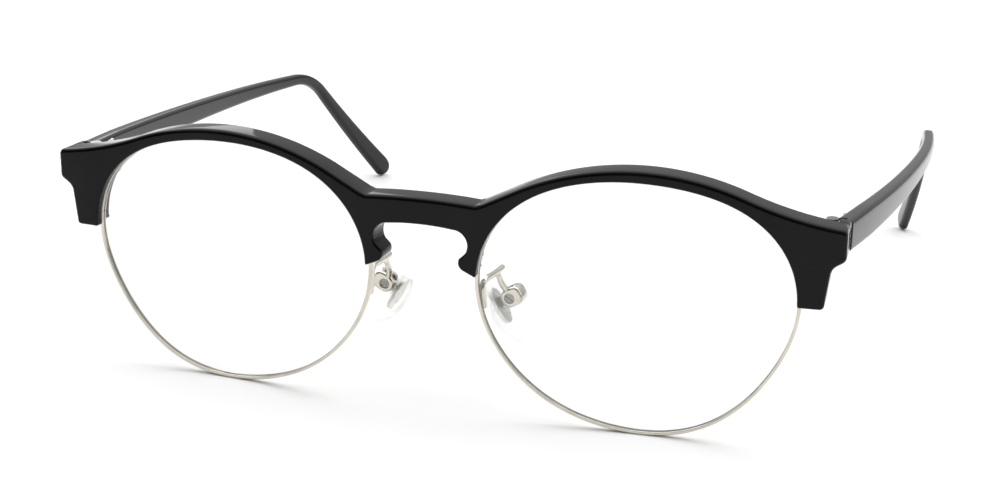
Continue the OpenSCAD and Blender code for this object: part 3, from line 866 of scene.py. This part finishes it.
def temple_half(s):
    """Half the temple's height at s along its middle line."""
    if s < TAPER_START:
        return TEMPLE_HEIGHT / 2
    if s < SHAFT:
        t = (s - TAPER_START) / (SHAFT - TAPER_START)
        return (TEMPLE_HEIGHT + (NECK_HEIGHT - TEMPLE_HEIGHT) * t) / 2
    if s < SHAFT + BEND:
        t = smoothstep((s - SHAFT) / BEND)
        return (NECK_HEIGHT + (BEND_END_HEIGHT - NECK_HEIGHT) * t) / 2
    t = (s - SHAFT - BEND) / DROP
    return (BEND_END_HEIGHT + (TIP_HEIGHT - BEND_END_HEIGHT) * t) / 2


def tip_cap(s, length):
    past = max(0.0, s - (TEMPLE_LENGTH - length)) / length
    return max(0.0, 1 - past ** 2.6) ** 0.5


def build_temples():
    corner_steps = 7
    cut = HINGE_CUT_Y - START_Y
    stations = [0.0, 0.01, 0.03, 0.06, 0.1]
    stations += [0.1 + (cut - 0.12) * i / 4 for i in range(1, 5)] + [cut + 0.02]
    stations += [cut + 0.02 + (SHAFT - cut) * i / 90 for i in range(1, 90)] + [SHAFT]
    stations += [SHAFT + BEND * i / 24 for i in range(1, 25)]
    stations += [SHAFT + BEND + (DROP - TIP_SLANT) * i / 24 for i in range(1, 25)]
    stations += [TEMPLE_LENGTH - TIP_SLANT * math.cos(i * math.pi / 2 / 20)
                 for i in range(1, 21)]
    stations[-1] = TEMPLE_LENGTH - 0.015
    rings = []
    for s in stations:
        cy, cz = centre_line(s)
        h = heading(s)
        up = (math.sin(h), math.cos(h))
        upper = temple_half(s) * tip_cap(s, TIP_SLANT)
        lower = temple_half(s) * tip_cap(s, TIP_ROUND)
        half, cap = (upper + lower) / 2, tip_cap(s, TIP_ROUND)
        cy += up[0] * (upper - lower) / 2
        cz += up[1] * (upper - lower) / 2
        wall = temple_wall(cy)
        inset = 0.0
        if s < START_SOFT:
            inset = START_SOFT - math.sqrt(max(0.0, START_SOFT ** 2 - (START_SOFT - s) ** 2))
        thin = TIP_THINNER * (1 - cap)
        inner_cut = 0.0
        if s < cut:
            inner_cut = HINGE_CUT_X - (temple_x(START_Y + s) - wall)
        hh = half - inset
        x_out, x_in = inset + thin / 2, wall - inset - thin / 2 - inner_cut
        r = max(0.02, min(CORNER_R, hh * 0.92, (x_in - x_out) * 0.46))
        ring = []
        for cx, cv, start in ((x_out + r, hh - r, 180), (x_in - r, hh - r, 90),
                              (x_in - r, -hh + r, 0), (x_out + r, -hh + r, -90)):
            for k in range(corner_steps + 1):
                a = math.radians(start - k * 90 / corner_steps)
                inward = cx + r * math.cos(a)
                v = cv + r * math.sin(a)
                y, z = cy + up[0] * v, cz + up[1] * v
                ring.append(row(temple_x(y) - inward, y, z))
        rings.append(ring)
    bm = bmesh.new()
    loft(bm, rings)
    on_both_sides("temple_acetate", bm, TEMPLE_ACETATE, "temple_{}",
                  ["temple_{}"], 40)


build_temples()

# ---- small metal parts keep their CAD shape, with softened edges ----


def soften(node, material, width):
    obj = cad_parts[node]
    obj.data.materials.clear()
    obj.data.materials.append(material)
    weld = obj.modifiers.new("weld", "WELD")
    weld.merge_threshold = 1e-6
    if width:
        bevel = obj.modifiers.new("edges", "BEVEL")
        bevel.width = width * MM
        bevel.segments = 3
        bevel.limit_method = "ANGLE"
        bevel.angle_limit = math.radians(35)
        bevel.use_clamp_overlap = True
        bevel.harden_normals = False


for side in SIDES:
    for stem, material, width in (
            ("closing_blocks", RIM_METAL, 0.12), ("closing_screw", SCREW_METAL, 0.06),
            ("brow_lug", RIM_METAL, 0.1), ("brow_screw", SCREW_METAL, 0.08),
            ("pad_screw", SCREW_METAL, 0.05),
            ("pad_insert", INSERT_METAL, 0.08),
            ("hinge_front_leaf", HINGE_METAL, 0.08), ("hinge_screw", SCREW_METAL, 0.08),
            ("hinge_front_rivets", SCREW_METAL, 0.06),
            ("hinge_temple_leaf", HINGE_METAL, 0.08),
            ("hinge_temple_rivets", SCREW_METAL, 0.05),
            ("core_wire", CORE_METAL, 0.0)):
        soften(f"{stem}_{side}", material, width)

# ---- floor, light and camera ----


FLOOR_HALF = 3.0


def build_floor():
    bm = bmesh.new()
    bmesh.ops.create_grid(bm, x_segments=12, y_segments=12, size=FLOOR_HALF)
    mesh = bpy.data.meshes.new("floor")
    bm.to_mesh(mesh)
    bm.free()
    floor = bpy.data.objects.new("floor", mesh)
    bpy.context.scene.collection.objects.link(floor)
    mat, _, _, shader, _ = new_material("floor_white")
    shader.inputs["Base Color"].default_value = (0.93, 0.93, 0.93, 1.0)
    shader.inputs["Roughness"].default_value = 0.85
    shader.inputs["Specular IOR Level"].default_value = 0.1
    mesh.materials.append(mat)


build_floor()


def area_light(name, place, target, size, energy):
    data = bpy.data.lights.new(name, "AREA")
    data.shape = "RECTANGLE"
    data.size, data.size_y = size
    data.energy = energy
    obj = bpy.data.objects.new(name, data)
    bpy.context.scene.collection.objects.link(obj)
    obj.location = place
    obj.rotation_mode = "QUATERNION"
    obj.rotation_quaternion = (Vector(target) - Vector(place)).to_track_quat("-Z", "Y")


MIDDLE = (cad_low + cad_high) / 2
area_light("overhead", (0.0, 0.1, 1.0), MIDDLE, (2.2, 1.6), 12.0)
area_light("right_side", (0.9, 0.1, 0.35), MIDDLE, (0.5, 0.5), 1.2)
area_light("left_back", (-0.6, 0.7, 0.4), MIDDLE, (0.5, 0.4), 1.0)

world = bpy.data.worlds.new("studio")
bpy.context.scene.world = world
world.use_nodes = True
wn, wl = world.node_tree.nodes, world.node_tree.links
wn.clear()
w_out = wn.new("ShaderNodeOutputWorld")
w_back = wn.new("ShaderNodeBackground")
w_coord = wn.new("ShaderNodeTexCoord")
w_split = wn.new("ShaderNodeSeparateXYZ")
# dark in front of the glasses and dimmer near the horizon, bright behind and above
front_to_back = remap(wn, wl, w_split.outputs["Y"], 0.03, 1.2, -0.3, 0.05)
low_to_high = remap(wn, wl, w_split.outputs["Z"], 0.45, 1.15, 0.2, 0.85)
w_both = wn.new("ShaderNodeMath")
w_both.operation = "MULTIPLY"
wl.new(w_coord.outputs["Generated"], w_split.inputs[0])
wl.new(front_to_back, w_both.inputs[0])
wl.new(low_to_high, w_both.inputs[1])
wl.new(w_both.outputs[0], w_back.inputs["Color"])
w_back.inputs["Strength"].default_value = 1.0
wl.new(w_back.outputs[0], w_out.inputs[0])

# the camera's place is in millimetres, in the drawing frame
CAMERA_PLACE, CAMERA_LENS = (115.394, -299.367, 108.916), 73.37
CAMERA_AZ, CAMERA_EL, CAMERA_ROLL = 18.8439, 17.9566, 0.4789
camera_data = bpy.data.cameras.new("camera")
camera_data.sensor_width = 36.0
camera_data.lens = CAMERA_LENS
camera_data.clip_start, camera_data.clip_end = 0.01, 20.0
camera = bpy.data.objects.new("camera", camera_data)
bpy.context.scene.collection.objects.link(camera)
az, el, roll = (math.radians(v) for v in (CAMERA_AZ, CAMERA_EL, CAMERA_ROLL))
back_dir = Vector((math.sin(az) * math.cos(el), -math.cos(az) * math.cos(el), math.sin(el)))
right_dir = Vector((math.cos(az), math.sin(az), 0.0))
up_dir = back_dir.cross(right_dir)
right_rolled = math.cos(roll) * right_dir + math.sin(roll) * up_dir
up_rolled = -math.sin(roll) * right_dir + math.cos(roll) * up_dir
camera.matrix_world = Matrix((
    (right_rolled.x, up_rolled.x, back_dir.x, 0.0),
    (right_rolled.y, up_rolled.y, back_dir.y, 0.0),
    (right_rolled.z, up_rolled.z, back_dir.z, 0.0),
    (0.0, 0.0, 0.0, 1.0)))
camera.location = row(*CAMERA_PLACE)
bpy.context.scene.camera = camera
bpy.context.scene.view_settings.view_transform = "Standard"
